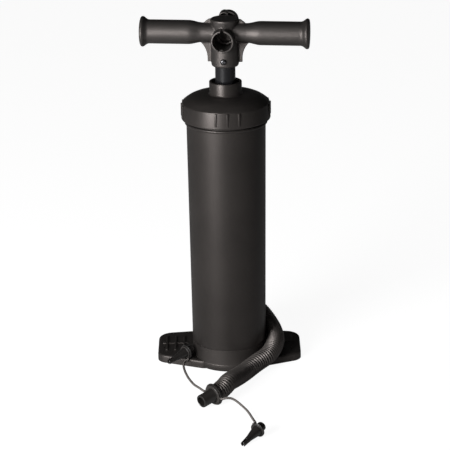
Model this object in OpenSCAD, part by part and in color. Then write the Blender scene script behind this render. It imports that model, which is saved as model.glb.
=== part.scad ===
// Double-action hand air pump: a foot-plate base, a barrel, a piston on a hollow rod with a T handle,
// and a corrugated hose with a nozzle and two tethered adapters.
// Origin on the floor at the barrel's axis, +Z up, the pump's front towards -Y. Millimetres.

/* [Barrel] */
// Outer diameter of the barrel just above the base
barrel_bottom_d = 100; // [96:1:106]
// Outer diameter of the barrel at its top
barrel_top_d = 105; // [101:1:106]
// Wall of the barrel at its thinnest, round the straight bore that the piston runs in
barrel_wall = 2.8; // [2:0.1:4]
// Height of the parting line between the base and the barrel
barrel_bottom_z = 31; // [29:0.5:34]
// Height of the barrel's open end
barrel_top_z = 364; // [330:1:390]

/* [Base] */
// Width over the two foot plates
foot_w = 197; // [190:1:210]
// Height of the foot plates
foot_h = 11; // [10:0.5:13]
// Wall of the hollow foot plates
foot_wall = 2.4; // [2:0.2:3]
// Height of the tread ribs on the foot plates
tread_h = 1.4; // [0.8:0.2:2]

/* [Cap] */
// Wall of the cap's skirt at its lower edge
cap_wall = 4; // [3:0.2:5]
// Outer diameter of the collar that guides the rod
collar_d = 43; // [42:1:48]
// Height of the collar's top edge above the barrel's open end
collar_rise = 32; // [28:1:38]

/* [Rod and handle] */
// Outer diameter of the hollow piston rod
rod_d = 26.6; // [24:0.2:28]
// Bore of the hollow piston rod
rod_bore_d = 20; // [19.4:0.2:21]
// Length of the T handle over its end flanges
handle_w = 221; // [200:1:240]
// Diameter of the thick part of each grip
grip_d = 31.5; // [28:0.5:34]
// Diameter of the handle's end flanges
flange_d = 40; // [36:1:44]
// Height of the bare rod between the collar and the handle's hub with the piston down
rod_gap = 21; // [15:1:40]
// Turn of the handle about the barrel's axis at rest, in degrees
handle_turn = -7; // [-30:1:30]

/* [Hose and nozzles] */
// Outer diameter of the corrugated hose
hose_d = 25; // [22:0.5:25]
// Diameter of the nozzle on the hose's end
nozzle_d = 17.4; // [16:0.2:18]
// Diameter of the tether cords
tether_d = 2.7; // [2:0.1:3]
// Diameter of the flange on each adapter
adapter_flange_d = 19.6; // [18:0.2:20]

/* [Hidden] */

$fn = 96;
small_fn = 32;

// Clearances: a running fit, a seat between fixed pieces, and open air between bodies
run = 0.06;
seat = 0.1;
air = 0.3;
eps = 0.01;

// Colours of the mouldings, the rubber and the metal
charcoal = [0.17, 0.165, 0.16];
black = [0.07, 0.07, 0.075];
rubber_grey = [0.3, 0.28, 0.26];
inner_white = [0.78, 0.78, 0.76];
steel = [0.6, 0.61, 0.63];

// Radii of the main cylinders
cup_r = barrel_bottom_d / 2;
barrel_top_r = barrel_top_d / 2;
bore_r = min(cup_r, barrel_top_r) - barrel_wall;
collar_r = collar_d / 2;
rod_r = rod_d / 2;
rod_bore_r = rod_bore_d / 2;

// Base: the cup's floor, its inner ledge and the spigot that centres the barrel
floor_t = 3;
spigot_r = bore_r - air;
spigot_wall = 2.9;
plate_t = 4;
ledge_z = barrel_bottom_z - 1;
plate_top_z = ledge_z + plate_t;
spigot_top_z = plate_top_z + 6.5;
plate_r = spigot_r - spigot_wall - seat;
ledge_w = 3;
divider_y = -12.8;
divider_t = 2.5;
lip_z = foot_h + 0.4;
hollow_r = plate_r + seat - ledge_w;
vent_r = 2.4;
vent_z = 5.6;
vent_angles = [204, 213, 327, 336];
base_seal_r = 0.75;
base_seal_z = plate_top_z + 4;

// Foot plates: corner centres and radii on the +X side, from the back round to the front
foot_x = foot_w / 2;
foot_round = 3;
foot_rib_t = 2;
foot_rib_y = -14;
foot_rib_len = 70;
cross_rib_len = 50;
rear_notch_w = 18;
foot_corners = [[foot_x - 20, 46, 20], [foot_x - 58, 51, 20], [foot_x - 16, -1, 16], [foot_x - 60, -24, 10]];
tread_x = [-12, 0, 12];
tread_mid_x = foot_x - 24;
tread_back_y = 48;
tread_w = 2.6;
tread_cross_len = 36;

// Rear outlet: a boss beside the cup, an elbow in it and the cuff that holds the hose
outlet_x = -30;
outlet_y = cup_r + 17;
elbow_pipe_r = 9.5;
elbow_wall = 2.2;
elbow_bend_r = 14;
elbow_tilt = 75;
elbow_seat_h = 12;
elbow_flange_t = 3;
boss_r = elbow_pipe_r + 3.5;
boss_h = 28;
boss_floor = 5;
channel_w = 14;
channel_h = 12;
channel_wall = 3;
elbow_bend_z = boss_h + 4;
stub_len = 14;
cuff_r = hose_d / 2 + 2.4;
cuff_on_stub = 7;
cuff_on_hose = 8;
cuff_rib_t = 2;

// Transfer tube: stands in the valve plate and runs inside the hollow rod
tube_r = 8;
tube_wall = 2;
tube_reach = 25;
socket_h = 12;
socket_r = tube_r + 3;
tube_bottom_z = ledge_z - socket_h + 2;
tube_seal_z = ledge_z - 4;
tube_seal_r = 0.65;

// Valve plate: the intake's cage fills the room between the tube and the plate's rim
port_room = 3.95;
cage_r = (plate_r - tube_r) / 2 - port_room;
cage_wall = 2.7;
cage_roof_t = 1.4;
cage_window_w = 10;
disc_r = cage_r - cage_wall - air;
disc_t = 1.5;
disc_lift = 2.2;
disc_seat = 3;
intake_port_r = disc_r - disc_seat;
intake_pos = [0, -tube_r - port_room - cage_r];
outlet_pos = -intake_pos;
umbrella_r = disc_r - 1;
umbrella_t = 1;
stem_r = 1.2;
screw_post_r = 5;
plate_screw_ring = hollow_r - screw_post_r + 0.5;
plate_screw_angles = [30, 150, 235, 305];
plate_screw_r = 1.7;
plate_screw_len = 12;
plate_screw_head_t = 2.2;

// Piston, resting just above the intake cage
piston_z = plate_top_z + 7;
piston_t = 16;
piston_r = bore_r - 0.9;
groove_depth = 4.3;
groove_t = 8;
piston_hub_r = rod_r + 4.2;
piston_hub_h = 34;
inner_seal_t = 4;
socket_floor = 10;
top_room = 4;
rod_bottom_z = piston_z + socket_floor + seat;
piston_top_z = piston_z + piston_hub_h;
stroke = barrel_top_z - piston_top_z - top_room;
rod_port_z = piston_top_z + 3.4;
rod_port_r = 2.4;
tube_top_z = piston_z + stroke + tube_reach;
piston_screw_z = piston_top_z - 8;
piston_screw_r = 1.6;

// Cap and barrel mouth
bead_z = barrel_top_z - 24.5;
neck_r = barrel_top_r - 0.7;
lug_out_r = neck_r + 2.9;
lug_w = 24;
lug_z = barrel_top_z - 12;
lug_t = 4;
cap_inner_r = lug_out_r + air;
cap_r = cap_inner_r + cap_wall;
cap_skirt_z = barrel_top_z - 18;
cap_roof_z = barrel_top_z + 2.2;
gasket_w = 3.9;
cap_rim_z = barrel_top_z + 7.5;
cap_cone_z = barrel_top_z + 14;
collar_top_z = barrel_top_z + collar_rise;
bush_r = collar_r - 3.3;
bush_z = barrel_top_z + 16;
bush_h = 12;
seal_pocket_r = rod_r + 3.7;
seal_pocket_z = barrel_top_z + 7;
retainer_t = 2.6;
rib_angles = [-15.2, 0, 15.2];
rib_group_turn = 1.7;

// Handle: heights of its parts
hub_bottom_z = collar_top_z + rod_gap;
hub_h = 63;
hub_top_z = hub_bottom_z + hub_h;
hub_r = 17.75;
hub_neck_r = 14.8;
hub_disc_r = 18.5;
grip_z = hub_top_z - 19;
grip_r = grip_d / 2;
grip_neck_r = grip_r - 3;
grip_neck_x = 28.5;
grip_full_x = 47.5;
ring_z = hub_top_z - 23;
ring_r = 14.15;
ring_bore_r = 11.95;
ring_front_y = -22;
ring_step_y = 4;
rod_top_z = ring_z - 16;
handle_screw_z = hub_bottom_z + 8;
clip_z = hub_top_z - 11;
clip_r = 13.5;
clip_wall = 2.6;
clip_front_y = 27;
clip_len = 11;
clip_gap = 11;
clip_arm_w = 10;
clip_arm_t = 5;
web_t = 3;
web_w = 15.5;
web_hollow_r = 41;
web_hollow_x = 60;
notch_w = 5;
notch_len = 10;
handle_screw_r = 2;

// Where the hose leaves its cuff, and the direction of the elbow's stub
elbow_dir = [sin(elbow_tilt), 0, cos(elbow_tilt)];
stub_foot = [
  outlet_x + elbow_bend_r * (1 - cos(elbow_tilt)), outlet_y, elbow_bend_z + elbow_bend_r * sin(elbow_tilt)
];
hose_start = stub_foot + (stub_len + seat) * elbow_dir;

// Nozzle end of the hose: the centre of its flange on the floor and its heading
nozzle_flange_r = 15;
nozzle_pos = [-21.7, -153.6, nozzle_flange_r + 0.2];
nozzle_aim = [222, 8];
nozzle_len = 22;
flange_t = 2.4;
neck_len = 18;
nozzle_bore_back = 7;
neck_bore_step = 1.1;
connector_neck_r = 9;
nozzle_dir = along(nozzle_aim);
hose_end_aim = [238, 14];
hose_end_dir = along(hose_end_aim);
hose_end = nozzle_pos - 11.5 * nozzle_dir;

// Adapters: flange centre, heading and droop towards the tip
adapter_left_pos = [-58.6, -26.6, 21.2];
adapter_left_aim = [223.1, 9.6];
adapter_front_pos = [34, -249.3, 10.1];
adapter_front_aim = [234.5, 11.4];
adapter_tip = 34;
adapter_back = 10;
adapter_back_r = 6;

// Routes of the cords, chosen by hand, from the object outwards
hose_route = concat(
  [for (s = [0, 5, 10, 16]) hose_start + s * elbow_dir],
  [[18, 66, 54.5], [27, 62.5, 54], [37, 55.5, 51.3], [46, 46, 46.5], [55.5, 33, 37.5], [61.5, 17, 31],
   [63.5, -3, 26.5], [60, -23, 24.2], [51.5, -40, 19.5], [39, -53, 16.2], [30, -64, 14.3], [21, -78, 13.3],
   [13, -94, 14.9], [6, -109, 17.3], [1.3, -119, 19.2], [-3, -128, 20]],
  [for (s = [12, 6, 0]) hose_end - s * hose_end_dir]
);
tether_left_route = [
  [-33.7, -142.3, 15], [-35.5, -140, 15], [-41, -131, 15], [-48.4, -117, 14], [-56.5, -86, 10.5],
  [-61.7, -57, 9], [-62.3, -42, 9.8], [-60, -34.8, 10.2], [-57.2, -31.6, 11.4], [-56.4, -31, 12.4]
];
tether_right_route = [
  [-11.8, -166.8, 15], [-9.6, -169.2, 15], [-4, -168.6, 14], [2.5, -163.5, 11.5], [10.5, -164, 7.5],
  [22, -184, 4], [29, -207, 4.5], [31.5, -224, 8], [30, -236, 12.5], [28.7, -242, 15]
];
hose_steps = 2;
tether_steps = 2;

// A hollow cylinder between two heights
module ring(outer, inner, low, high) {
  translate([0, 0, low])
    difference() {
      cylinder(h = high - low, r = outer);
      translate([0, 0, -1]) cylinder(h = high - low + 2, r = inner);
    }
}

// Direction of a heading and a droop, both in degrees
function along(heading_droop) = [
  cos(heading_droop[1]) * cos(heading_droop[0]), cos(heading_droop[1]) * sin(heading_droop[0]),
  -sin(heading_droop[1])
];

// Turns a shape drawn along +Z into one that lies along a heading and droops by an angle
module aim(pos, heading_droop) {
  translate(pos) rotate([0, 90 + heading_droop[1], heading_droop[0]]) children();
}

// Catmull-Rom point between p1 and p2
function blend(p0, p1, p2, p3, t) =
  0.5 * (2 * p1 + (p2 - p0) * t + (2 * p0 - 5 * p1 + 4 * p2 - p3) * t * t
         + (3 * p1 - p0 - 3 * p2 + p3) * t * t * t);

// A route with extra points on a smooth curve through it
function smooth_route(route, steps) = let (last = len(route) - 1) concat(
  [for (i = [0 : last - 1], k = [0 : steps - 1])
    blend(route[max(i - 1, 0)], route[i], route[i + 1], route[min(i + 2, last)], k / steps)],
  [route[last]]);

function unit(v) = v / norm(v);

// Directions along a route at each of its points
function headings(path) = let (last = len(path) - 1)
  [for (i = [0 : last]) unit(path[min(i + 1, last)] - path[max(i - 1, 0)])];

// A round bar that follows a path, with its sides counted from a direction square to the path
module bar_along(path, d, sides, square_to = [0, 0, 1]) {
  dirs = headings(path);
  last = len(path) - 1;
  points = [for (i = [0 : last], k = [0 : sides - 1])
    let (side = unit(cross(dirs[i], square_to)), up = cross(side, dirs[i]), a = 360 * k / sides)
      path[i] + d / 2 * (cos(a) * side + sin(a) * up)];
  walls = [for (i = [0 : last - 1], k = [0 : sides - 1])
    let (next = (k + 1) % sides)
      [i * sides + k, i * sides + next, (i + 1) * sides + next, (i + 1) * sides + k]];
  start = [[for (k = [sides - 1 : -1 : 0]) k]];
  finish = [[for (k = [0 : sides - 1]) last * sides + k]];
  polyhedron(points = points, faces = concat(start, walls, finish), convexity = 6);
}

// Foot plates with rounded corners and a rounded top edge, grown or shrunk by an inset
module foot_block(height, inset, round) {
  hull()
    for (side = [-1, 1], c = foot_corners)
      translate([side * c[0], c[1], 0]) {
        cylinder(h = height - round, r = c[2] - inset, $fn = small_fn);
        cylinder(h = height, r = c[2] - inset - round, $fn = small_fn);
      }
}

module foot_tread() {
  for (side = [-1, 1]) {
    for (x = tread_x)
      translate([side * tread_mid_x + x - tread_w / 2, 0, foot_h - 1])
        cube([tread_w, tread_back_y, 1 + tread_h]);
    translate([side * tread_mid_x - tread_cross_len / 2, tread_back_y / 2, foot_h - 1])
      cube([tread_cross_len, tread_w, 1 + tread_h]);
  }
}

// Upright walls under the hollow foot plates
module foot_ribs() {
  for (side = [-1, 1], x = tread_x)
    translate([side * tread_mid_x + x - foot_rib_t / 2, foot_rib_y, 1])
      cube([foot_rib_t, foot_rib_len, foot_h - foot_wall]);
  for (side = [-1, 1])
    translate([side * (tread_mid_x - 3.25) - cross_rib_len / 2, tread_back_y / 2, 1])
      cube([cross_rib_len, foot_rib_t, foot_h - foot_wall]);
}

// Solid of the cup, its spigot and the shoulder that the barrel stands on
module cup_solid() {
  rotate_extrude()
    polygon([
      [0, 0], [cup_r - 1.5, 0], [cup_r + 0.4, 1.9], [cup_r + 0.4, lip_z], [cup_r, lip_z + 0.6],
      [cup_r, barrel_bottom_z], [spigot_r, barrel_bottom_z], [spigot_r, spigot_top_z - 1],
      [spigot_r - 1, spigot_top_z], [0, spigot_top_z]
    ]);
}

module cup_hollow() {
  translate([0, 0, floor_t])
    cylinder(h = spigot_top_z, r = hollow_r);
  translate([0, 0, ledge_z])
    cylinder(h = spigot_top_z, r = plate_r + seat);
  rotate_extrude()
    translate([spigot_r - 1.4, base_seal_z - base_seal_r - seat])
      square([3, 2 * (base_seal_r + seat)]);
}

module base() {
  color(charcoal)
    difference() {
      union() {
        difference() {
          union() {
            foot_block(foot_h, 0, foot_round);
            foot_tread();
          }
          translate([0, 0, -1])
            foot_block(foot_h + 1 - foot_wall, foot_wall, foot_round - 1);
        }
        foot_ribs();
        cup_solid();
        translate([outlet_x, outlet_y, 0]) cylinder(h = boss_h, r = boss_r);
        translate([outlet_x - channel_w / 2 - channel_wall, cup_r / 2, 0])
          cube([channel_w + 2 * channel_wall, outlet_y - cup_r / 2, boss_floor + channel_h + channel_wall]);
      }
      difference() {
        cup_hollow();
        translate([-cup_r, divider_y - divider_t / 2, 0]) cube([2 * cup_r, divider_t, ledge_z]);
        for (a = plate_screw_angles)
          rotate(a) translate([plate_screw_ring, 0, 0]) cylinder(h = ledge_z, r = screw_post_r);
      }
      for (a = plate_screw_angles)
        rotate(a) translate([plate_screw_ring, 0, ledge_z - plate_screw_len - 3])
          cylinder(h = plate_screw_len + 8, r = plate_screw_r + run);
      translate([outlet_x, outlet_y, boss_floor]) cylinder(h = boss_h, r = elbow_pipe_r + seat);
      translate([outlet_x - channel_w / 2, cup_r / 2, boss_floor])
        cube([channel_w, outlet_y - cup_r / 2, channel_h]);
      for (a = vent_angles)
        rotate(a) translate([hollow_r - 3, 0, vent_z])
          rotate([0, 90, 0]) cylinder(h = cup_r - hollow_r + 5, r = vent_r);
      for (side = [-1, 1])
        translate([side * foot_x * 0.62 - rear_notch_w / 2, foot_corners[1][1] + 1, -1])
          cube([rear_notch_w, 30, 4]);
    }
}

// Plate that closes the barrel's foot: intake port in front, outlet port behind, tube socket in the middle
module valve_plate() {
  color(inner_white)
    difference() {
      union() {
        translate([0, 0, ledge_z]) cylinder(h = plate_t, r = plate_r);
        translate([0, 0, ledge_z - socket_h]) cylinder(h = socket_h + eps, r = socket_r);
      }
      translate([intake_pos[0], intake_pos[1], ledge_z - 1]) cylinder(h = plate_t + 2, r = intake_port_r);
      umbrella_ports(outlet_pos, ledge_z, plate_t, umbrella_r * 0.6);
      umbrella_ports([0, 0], ledge_z - socket_h, plate_t, tube_r / 2);
      translate([0, 0, tube_bottom_z]) cylinder(h = socket_h + plate_t, r = tube_r + run);
      translate([0, 0, tube_seal_z])
        rotate_extrude()
          translate([tube_r - 1, -tube_seal_r - seat]) square([2 * tube_seal_r + 1.1, 2 * (tube_seal_r + seat)]);
      for (a = plate_screw_angles)
        rotate(a) translate([plate_screw_ring, 0, ledge_z - 1]) cylinder(h = plate_t + 2, r = plate_screw_r + seat);
    }
}

// Holes under an umbrella valve: a ring of ports round the hole for its stem
module umbrella_ports(pos, low, thickness, ring_radius) {
  translate([pos[0], pos[1], low - 1]) {
    cylinder(h = thickness + 2, r = stem_r + run, $fn = small_fn);
    for (a = [0 : 60 : 300])
      rotate(a) translate([ring_radius, 0, 0]) cylinder(h = thickness + 2, r = ring_radius * 0.28, $fn = small_fn);
  }
}

// Umbrella valve below a plate: a thin disc, a stem through the plate and a bulb above it
module umbrella(pos, low, thickness, radius) {
  translate([pos[0], pos[1], low])
    rotate_extrude()
      polygon([
        [0, -umbrella_t - run], [radius * 0.6, -umbrella_t - run], [radius, -umbrella_t * 0.6 - run],
        [radius, -run], [stem_r, -run], [stem_r, thickness + run], [stem_r + 0.8, thickness + run],
        [stem_r, thickness + 2], [0, thickness + 2]
      ]);
}

module valve_plate_screws() {
  color(steel)
    for (a = plate_screw_angles)
      rotate(a) translate([plate_screw_ring, 0, 0]) {
        translate([0, 0, ledge_z - plate_screw_len])
          cylinder(h = plate_screw_len + plate_t + plate_screw_head_t / 2, r = plate_screw_r);
        translate([0, 0, plate_top_z])
          cylinder(h = plate_screw_head_t, r1 = 2 * plate_screw_r, r2 = 2 * plate_screw_r - 0.6);
      }
}

// Cage over the intake port, with four windows between its posts
module intake_cage() {
  low = plate_top_z;
  roof = low + disc_t + disc_lift + 2 * air;
  color(inner_white)
    translate([intake_pos[0], intake_pos[1], 0])
      difference() {
        ring(cage_r, disc_r + air, low, roof + cage_roof_t);
        for (a = [45, 135])
          rotate(a) translate([-2 * cage_r, -cage_window_w / 2, low + 1])
            cube([4 * cage_r, cage_window_w, roof - low - 1]);
      }
  color(inner_white)
    translate([intake_pos[0], intake_pos[1], 0])
      ring(disc_r + air + eps, intake_port_r - 1, roof, roof + cage_roof_t);
}

// Loose rubber disc that lies on the intake port and lifts inside its cage
module intake_disc() {
  color(black)
    translate([intake_pos[0], intake_pos[1], plate_top_z + run])
      cylinder(h = disc_t, r = disc_r);
}

module outlet_flap() {
  color(black) umbrella(outlet_pos, ledge_z, plate_t, umbrella_r);
}

// The transfer tube's own one-way valve, below the socket's floor
module transfer_flap() {
  color(black) umbrella([0, 0], ledge_z - socket_h, 2, socket_r - 2.5);
}

// Centre tube that takes the air from above the piston down to the outlet
module transfer_tube() {
  color(inner_white)
    difference() {
      ring(tube_r, tube_r - tube_wall, tube_bottom_z + 2.6, tube_top_z);
      translate([0, 0, tube_top_z - 0.5]) cylinder(h = 1, r1 = tube_r - tube_wall, r2 = tube_r - tube_wall + 1);
    }
}

module transfer_tube_seal() {
  color(black)
    translate([0, 0, tube_seal_z])
      rotate_extrude() translate([tube_r + tube_seal_r + run / 2, 0]) circle(r = tube_seal_r - run, $fn = small_fn);
}

module base_seal() {
  color(black)
    translate([0, 0, base_seal_z])
      rotate_extrude() translate([spigot_r - 0.6, 0]) circle(r = base_seal_r, $fn = small_fn);
}

// Tapered barrel with a straight bore, a bead below the cap and four bayonet lugs
module barrel() {
  color(charcoal) {
    rotate_extrude()
      polygon([
        [bore_r, barrel_bottom_z], [cup_r - 0.6, barrel_bottom_z], [cup_r, barrel_bottom_z + 0.8],
        [barrel_top_r, bead_z], [barrel_top_r + 1.4, bead_z + 0.8], [barrel_top_r + 1.4, bead_z + 3],
        [neck_r, bead_z + 3.6], [neck_r, barrel_top_z], [bore_r, barrel_top_z]
      ]);
    for (a = [0 : 90 : 270])
      rotate(a - lug_w / 2)
        rotate_extrude(angle = lug_w)
          translate([neck_r - 1, lug_z]) square([lug_out_r - neck_r + 1, lug_t]);
  }
}

module cap_gasket() {
  color(black) ring(neck_r - air, neck_r - air - gasket_w, barrel_top_z, cap_roof_z - run);
}

// One raised grip rib on the cap's skirt, wider at its foot
module cap_rib() {
  low = cap_skirt_z + 4;
  high = cap_rim_z - 4;
  translate([0, -cap_inner_r - 1, 0])
    rotate([90, 0, 0])
      linear_extrude(height = cap_r + 0.6 - cap_inner_r - 1)
        polygon([[-1.9, low], [1.9, low], [1.1, high], [-1.1, high]]);
}

// Bayonet cap with the rod's guide collar
module cap() {
  color(charcoal) {
    rotate_extrude()
      polygon([
        [cap_inner_r, cap_skirt_z], [cap_r - 1, cap_skirt_z], [cap_r, cap_skirt_z + 1.4],
        [cap_r - 1.3, cap_rim_z - 4], [cap_r - 2, cap_rim_z - 1.6], [cap_r - 4.2, cap_rim_z],
        [collar_r + 1, cap_cone_z], [collar_r + 0.9, cap_cone_z + 1.2], [collar_r, cap_cone_z + 2],
        [collar_r, collar_top_z - 0.6], [collar_r - 0.6, collar_top_z], [bush_r + seat, collar_top_z],
        [bush_r + seat, bush_z], [rod_r + 1.2, bush_z], [rod_r + 1.2, bush_z - 3],
        [seal_pocket_r, bush_z - 3], [seal_pocket_r, seal_pocket_z],
        [seal_pocket_r + 4, seal_pocket_z], [seal_pocket_r + 4, seal_pocket_z - 4],
        [seal_pocket_r + 8, seal_pocket_z - 4], [seal_pocket_r + 8, cap_roof_z + 3],
        [neck_r - 12, cap_roof_z], [cap_inner_r, cap_roof_z]
      ]);
    for (a = [0 : 90 : 270])
      rotate(a - lug_w / 2)
        rotate_extrude(angle = lug_w)
          translate([neck_r + air, lug_z - air - lug_t]) square([cap_inner_r - neck_r + 0.5, lug_t]);
    for (group = [0 : 90 : 270], a = rib_angles)
      rotate(group + a + rib_group_turn) cap_rib();
  }
}

// Guide bush in the collar, with four air grooves down its outside
module rod_bush() {
  color(black)
    difference() {
      ring(bush_r, rod_r + run, bush_z, bush_z + bush_h);
      for (a = [45 : 90 : 315])
        rotate(a) translate([bush_r, 0, bush_z - 1]) cylinder(h = bush_h + 2, r = 1.4, $fn = small_fn);
    }
}

// Lip seal on the rod: it lets air in past its lip and holds it on the way up
module rod_seal() {
  low = seal_pocket_z + 0.5;
  high = bush_z - 3 - seat;
  color(rubber_grey)
    rotate_extrude()
      polygon([
        [rod_r + run, low], [rod_r + 0.9, low], [rod_r + 1.5, high - 2.4], [seal_pocket_r - 1, high - 2.4],
        [seal_pocket_r - 0.9, low], [seal_pocket_r - seat, low], [seal_pocket_r - seat, high],
        [rod_r + 0.5, high]
      ]);
}

// Washer pressed into the cap that keeps the lip seal in its pocket
module seal_retainer() {
  color(inner_white)
    ring(seal_pocket_r + 4 - seat, rod_r + 1.2, seal_pocket_z - retainer_t, seal_pocket_z);
}

// Everything that turns with the handle
module turned() {
  rotate(handle_turn) children();
}

// Hole straight through the rod, square to its axis
module cross_hole(height, radius, turn) {
  translate([0, 0, height])
    rotate([90, 0, turn])
      cylinder(h = 4 * rod_r, r = radius, center = true, $fn = small_fn);
}

// Hole for the handle's screw, in the front wall alone
module handle_screw_hole() {
  translate([0, 0, handle_screw_z])
    rotate([90, 0, 0])
      cylinder(h = 2 * hub_r, r = handle_screw_r + run, $fn = small_fn);
}

// Hollow rod with four air ports above the piston
module piston_rod() {
  color(black)
    turned()
      difference() {
        ring(rod_r, rod_bore_r, rod_bottom_z, rod_top_z);
        for (a = [0, 90])
          cross_hole(rod_port_z, rod_port_r, a);
        handle_screw_hole();
        cross_hole(piston_screw_z, piston_screw_r + run, 90);
      }
}

// Piston with a groove for its seal, a rod socket and six stiffening ribs
module piston() {
  groove_z = piston_z + (piston_t - groove_t) / 2;
  color(inner_white)
    turned()
      difference() {
        union() {
          rotate_extrude()
            polygon([
              [tube_r + 0.4, piston_z], [piston_r - 1, piston_z], [piston_r, piston_z + 1], [piston_r, groove_z],
              [piston_r - groove_depth, groove_z], [piston_r - groove_depth, groove_z + groove_t],
              [piston_r, groove_z + groove_t], [piston_r, piston_z + piston_t - 1],
              [piston_r - 1, piston_z + piston_t], [piston_hub_r, piston_z + piston_t],
              [piston_hub_r - 0.4, piston_top_z], [tube_r + 0.4, piston_top_z]
            ]);
          for (a = [30 : 60 : 330])
            rotate(a) rotate([90, 0, 0]) linear_extrude(height = 2.4, center = true)
              polygon([
                [piston_hub_r - 1, piston_z + piston_t - 1], [piston_r - 6, piston_z + piston_t - 1],
                [piston_r - 8, piston_z + piston_t + 2], [piston_hub_r - 1, piston_top_z - 8]
              ]);
        }
        translate([0, 0, piston_z + socket_floor - inner_seal_t])
          cylinder(h = inner_seal_t + 1, r = rod_bore_r + 0.6);
        translate([0, 0, piston_z + socket_floor]) cylinder(h = piston_hub_h, r = rod_r + run);
        cross_hole(piston_screw_z, piston_screw_r + run, 90);
      }
}

// Rubber ring in the piston's groove, with a shallow channel between its two lips
module piston_seal() {
  low = piston_z + (piston_t - groove_t) / 2 + seat;
  high = low + groove_t - 2 * seat;
  inner = piston_r - groove_depth + seat;
  outer = bore_r - run;
  color(rubber_grey)
    rotate_extrude()
      polygon([
        [inner, low], [outer, low], [outer, low + 2], [outer - 1.4, low + 3], [outer - 1.4, high - 3],
        [outer, high - 2], [outer, high], [inner, high]
      ]);
}

// Ring in the piston's foot that runs on the transfer tube
module inner_seal() {
  low = piston_z + socket_floor - inner_seal_t;
  color(rubber_grey) turned() ring(rod_bore_r + 0.5, tube_r + run, low + seat, low + inner_seal_t);
}

module piston_screws() {
  color(steel)
    turned()
      for (side = [0, 180])
        rotate(side) {
          translate([rod_bore_r - 0.4, 0, piston_screw_z]) rotate([0, 90, 0])
            cylinder(h = piston_hub_r - rod_bore_r + 1, r = piston_screw_r, $fn = small_fn);
          translate([piston_hub_r, 0, piston_screw_z]) rotate([0, 90, 0])
            cylinder(h = 2, r1 = 2 * piston_screw_r, r2 = 2 * piston_screw_r - 0.6, $fn = small_fn);
        }
}

// Radius of the grip between its neck and its thick part
function grip_swell(t) = grip_neck_r + (grip_r - grip_neck_r) * t * t * (3 - 2 * t);

// One grip from the hub's middle to its end flange, drawn along +Z
module grip() {
  half = handle_w / 2;
  flange_r = flange_d / 2;
  rotate_extrude()
    polygon(concat(
      [[0, 0], [grip_neck_r, 0]],
      [for (k = [0 : 6]) [grip_swell(k / 6), grip_neck_x + (grip_full_x - grip_neck_x) * k / 6]],
      [
        [grip_r, half - 9.5], [grip_r + 1.2, half - 6.5], [flange_r - 0.6, half - 2.8], [flange_r, half - 2.2],
        [flange_r, half - 0.8], [flange_r - 1, half], [0, half]
      ]
    ));
}

module hub() {
  rotate_extrude()
    polygon([
      [0, hub_bottom_z], [hub_r - 1.9, hub_bottom_z], [hub_r, hub_bottom_z + 2.3], [hub_r, ring_z - 11],
      [hub_neck_r, ring_z - 5], [hub_neck_r, grip_z + 4.5], [hub_disc_r, hub_top_z - 2.4],
      [hub_disc_r, hub_top_z - 0.6], [hub_disc_r - 0.6, hub_top_z], [0, hub_top_z]
    ]);
}

// Thin webs in the handle's plane, above and below each grip's neck
module webs() {
  for (side = [0, 1])
    mirror([side, 0, 0])
      rotate([90, 0, 0])
        linear_extrude(height = web_t, center = true) {
          difference() {
            translate([hub_r - 2, handle_screw_z]) square([web_w, grip_z - handle_screw_z]);
            translate([web_hollow_x, handle_screw_z - 5]) circle(r = web_hollow_r);
          }
          polygon([
            [hub_neck_r - 2, hub_top_z - 1], [hub_disc_r + 1, hub_top_z - 0.8], [28.8, hub_top_z - 6.2],
            [28.8, grip_z], [hub_neck_r - 2, grip_z]
          ]);
        }
}

// Open spring clip on the handle's back, on a short arm
module rear_clip() {
  lip_r = 3.4;
  translate([-clip_arm_w / 2, hub_neck_r - 3, clip_z - clip_r])
    cube([clip_arm_w, clip_front_y + clip_len - hub_neck_r + 3, clip_arm_t]);
  translate([0, clip_front_y, clip_z])
    rotate([-90, 0, 0]) {
      difference() {
        cylinder(h = clip_len, r = clip_r);
        translate([0, 0, -1]) cylinder(h = clip_len + 2, r = clip_r - clip_wall);
        rotate(-128) translate([0, -clip_gap / 2, -1]) cube([2 * clip_r, clip_gap, clip_len + 2]);
      }
      rotate(-160) translate([clip_r - clip_wall / 2, 0, 0]) cylinder(h = clip_len, r = lip_r, $fn = small_fn);
      rotate(-100) translate([clip_r - clip_wall / 2, 0, 0]) cylinder(h = clip_len, r = 1.9, $fn = small_fn);
    }
}

// T handle moulded with its hub, its front split ring, its webs and its rear clip
module handle() {
  color(charcoal)
    turned()
      difference() {
        union() {
          translate([0, 0, grip_z]) rotate([0, 90, 0]) grip();
          translate([0, 0, grip_z]) rotate([0, -90, 0]) grip();
          hub();
          translate([0, ring_front_y, ring_z]) rotate([-90, 0, 0]) cylinder(h = 10 - ring_front_y, r = ring_r);
          webs();
          rear_clip();
        }
        translate([0, ring_front_y - 1, ring_z])
          rotate([-90, 0, 0]) cylinder(h = ring_step_y - ring_front_y + 1, r = ring_bore_r);
        translate([0, 0, ring_z]) rotate([-90, 0, 0]) cylinder(h = ring_step_y + 4, r = ring_bore_r - 2.4);
        translate([-1 - notch_w / 2, ring_front_y - 1, ring_z - ring_r - 2])
          cube([notch_w, notch_len + 1, 2 * ring_r + 4]);
        translate([0, 0, hub_bottom_z - 1]) cylinder(h = rod_top_z + seat - hub_bottom_z + 1, r = rod_r + run);
        handle_screw_hole();
      }
}

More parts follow.
